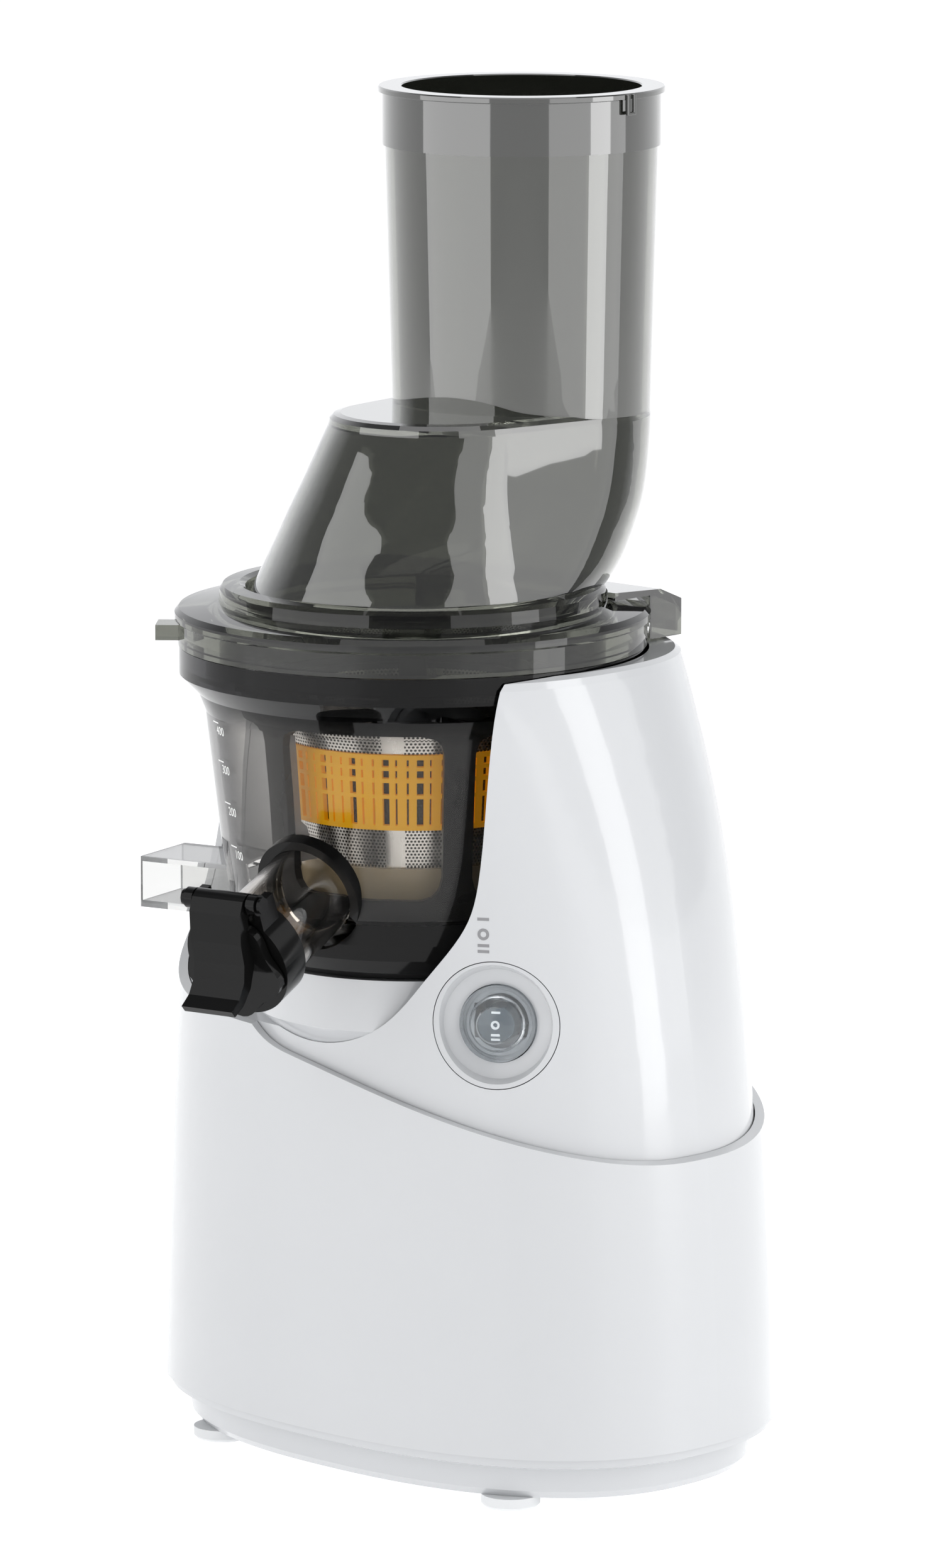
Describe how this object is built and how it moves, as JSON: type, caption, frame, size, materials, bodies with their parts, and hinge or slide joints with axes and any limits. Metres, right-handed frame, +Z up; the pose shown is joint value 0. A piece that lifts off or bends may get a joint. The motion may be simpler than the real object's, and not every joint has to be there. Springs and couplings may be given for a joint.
{
  "type": "slow juicer",
  "caption": "Upright slow juicer: oval motor base with rear tower, clear bowl with strainer, brush frame and auger, wide feed chute, capped juice spout and pulp duct.",
  "frame": {"origin": "table level, at the middle of the whole machine's footprint box", "axes": "+Z up, -Y the front with the juice spout, +Y the back with the tower, +X the right side with the switch"},
  "size_m": [0.2208, 0.2206, 0.448],
  "materials": {
    "white_shell": "gloss pearl white",
    "white_trim": "gloss pearl white",
    "black_gloss": "polished black",
    "dark_matte": "fine satin",
    "smoke_clear": "smoke tinted clear plastic",
    "bowl_clear": "light smoke clear plastic",
    "duct_clear": "clear plastic",
    "amber": "amber translucent plastic",
    "mesh_steel": "perforated sheet",
    "shaft_steel": "ground",
    "lamination": "stacked laminations",
    "copper": "enamelled winding",
    "gear_nylon": "moulded nylon",
    "auger_resin": "moulded resin",
    "silicone": "translucent silicone",
    "rubber_black": "moulded rubber",
    "rubber_white": "moulded rubber",
    "boot_clear": "clear flexible boot",
    "switch_grey": "satin",
    "board_green": "circuit board",
    "zinc": "die cast"
  },
  "bodies": {
    "base": {"tower_housing": "white_shell", "outer_housing": "white_shell", "bottom_cover": "white_trim", "feet": "rubber_white", "bottom_screws": "shaft_steel", "recess_liner": "dark_matte", "switch_bezel": "white_trim", "switch_body": "dark_matte", "switch_boot": "boot_clear", "cord_inlet": "dark_matte", "motor_case": "zinc", "motor_bracket": "zinc", "motor_stator": "lamination", "motor_windings": "copper", "motor_bearings": "shaft_steel", "gearbox_housing": "dark_matte", "gearbox_cover": "dark_matte", "output_bearings": "shaft_steel", "intermediate_shaft": "shaft_steel", "drive_seal": "rubber_black", "control_board": "board_green", "motor_capacitor": "dark_matte", "bowl_sensor": "dark_matte"},
    "rocker": {"rocker_button": "switch_grey"},
    "rotor": {"motor_rotor": "shaft_steel", "motor_fan": "dark_matte"},
    "intermediate": {"intermediate_gear": "gear_nylon"},
    "drive": {"output_gear": "gear_nylon", "drive_shaft": "shaft_steel"},
    "bowl": {"bowl": "bowl_clear", "bowl_base_ring": "black_gloss", "drip_gasket": "silicone", "bowl_shaft_seal": "silicone", "spout_collar": "black_gloss", "juice_spout": "bowl_clear", "spout_cap_ring": "black_gloss", "cap_pin": "black_gloss", "pulp_duct": "duct_clear", "strainer_mesh": "mesh_steel", "strainer_band": "amber", "strainer_top_ring": "dark_matte", "strainer_base": "amber", "idler_pin": "shaft_steel"},
    "cap": {"cap_lever": "black_gloss", "cap_gasket": "silicone"},
    "auger": {"auger": "auger_resin"},
    "idler": {"idler_gear": "gear_nylon"},
    "brush": {"brush_frame": "dark_matte", "brush_wipers": "silicone"},
    "lid": {"lid": "smoke_clear", "lid_bushing": "dark_matte", "lid_gasket": "silicone", "lid_tail": "smoke_clear", "lid_magnet": "zinc", "chute": "smoke_clear", "chute_band": "black_gloss"}
  },
  "joints": [
    {"name": "bowl_lift", "type": "slide", "parent": "base", "child": "bowl", "axis": [0, 0, 1], "range_m": [0, 0.12]},
    {"name": "lid_lift", "type": "slide", "parent": "bowl", "child": "lid", "axis": [0, 0, 1], "range_m": [0, 0.1]},
    {"name": "spout_cap_hinge", "type": "hinge", "parent": "bowl", "child": "cap", "pos_m": [0.01879, -0.09956, 0.20311], "axis": [-0.9848, -0.1736, 0], "range_deg": [0, 80]},
    {"name": "auger_spin", "type": "hinge", "parent": "bowl", "child": "auger", "pos_m": [0, 0.007, 0.2], "axis": [0, 0, 1], "continuous": true},
    {"name": "idler_spin", "type": "hinge", "parent": "bowl", "child": "idler", "pos_m": [0, 0.031, 0.18], "axis": [0, 0, 1], "continuous": true},
    {"name": "brush_spin", "type": "hinge", "parent": "bowl", "child": "brush", "pos_m": [0, 0.007, 0.2], "axis": [0, 0, 1], "continuous": true},
    {"name": "drive_spin", "type": "hinge", "parent": "base", "child": "drive", "pos_m": [0, 0.007, 0.13], "axis": [0, 0, 1], "continuous": true},
    {"name": "intermediate_spin", "type": "hinge", "parent": "base", "child": "intermediate", "pos_m": [0, 0.05075, 0.115], "axis": [0, 0, 1], "continuous": true},
    {"name": "rotor_spin", "type": "hinge", "parent": "base", "child": "rotor", "pos_m": [0, 0.02075, 0.07], "axis": [0, 0, 1], "continuous": true},
    {"name": "rocker_tilt", "type": "hinge", "parent": "base", "child": "rocker", "pos_m": [0.05801, -0.01137, 0.15774], "axis": [0.866, 0.5, 0], "range_deg": [-10, 10]}
  ],
  "couplings": [
    {"joint": "intermediate_spin", "follows": "drive_spin", "ratio": -4},
    {"joint": "rotor_spin", "follows": "drive_spin", "ratio": 16},
    {"joint": "auger_spin", "follows": "drive_spin", "ratio": 1},
    {"joint": "idler_spin", "follows": "drive_spin", "ratio": -1},
    {"joint": "brush_spin", "follows": "drive_spin", "ratio": -0.33333}
  ]
}
